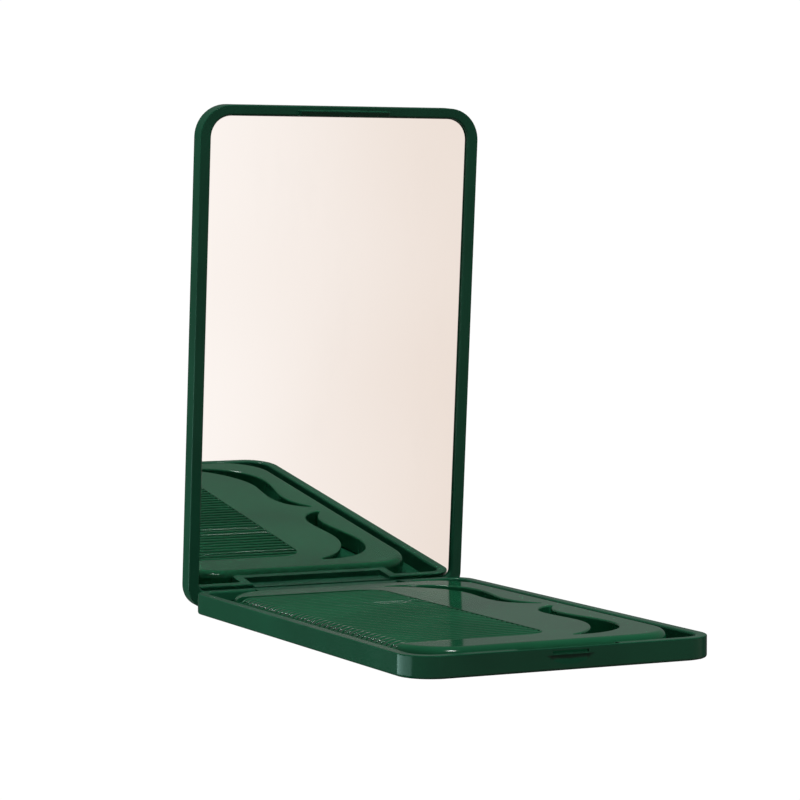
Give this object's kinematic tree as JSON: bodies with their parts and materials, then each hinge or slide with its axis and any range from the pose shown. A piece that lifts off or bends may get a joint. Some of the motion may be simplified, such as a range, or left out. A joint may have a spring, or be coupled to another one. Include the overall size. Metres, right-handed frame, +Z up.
{
  "type": "compact mirror with comb",
  "caption": "Slim folding case with round corners: a mirror in the hinged lid, and a flat comb with two curved slots that lifts out of the base tray.",
  "frame": {"origin": "centre of the base's flat underside", "axes": "+X to the right along the hinge, +Y from the front edge to the hinge, +Z up from the table"},
  "size_m": [0.063, 0.1097, 0.1042],
  "materials": {
    "case_plastic": "smooth dark green moulding",
    "comb_plastic": "smooth dark green moulding",
    "mirror": "silvered glass",
    "pad_foam": "matt foam tape",
    "pin_steel": "drawn wire"
  },
  "bodies": {
    "base": {"base_tray": "case_plastic"},
    "lid": {"lid_shell": "case_plastic", "mirror_glass": "mirror", "adhesive_pad": "pad_foam", "hinge_pin_left": "pin_steel", "hinge_pin_right": "pin_steel"},
    "comb": {"comb": "comb_plastic"}
  },
  "joints": [
    {"name": "lid_hinge", "type": "hinge", "parent": "base", "child": "lid", "pos_m": [0, 0.05028, 0.00164], "axis": [-1, 0, 0], "range_deg": [-85.2, 1.4]},
    {"name": "comb_lift", "type": "slide", "parent": "base", "child": "comb", "axis": [0, 0, 1], "range_m": [0, 0.03]}
  ]
}
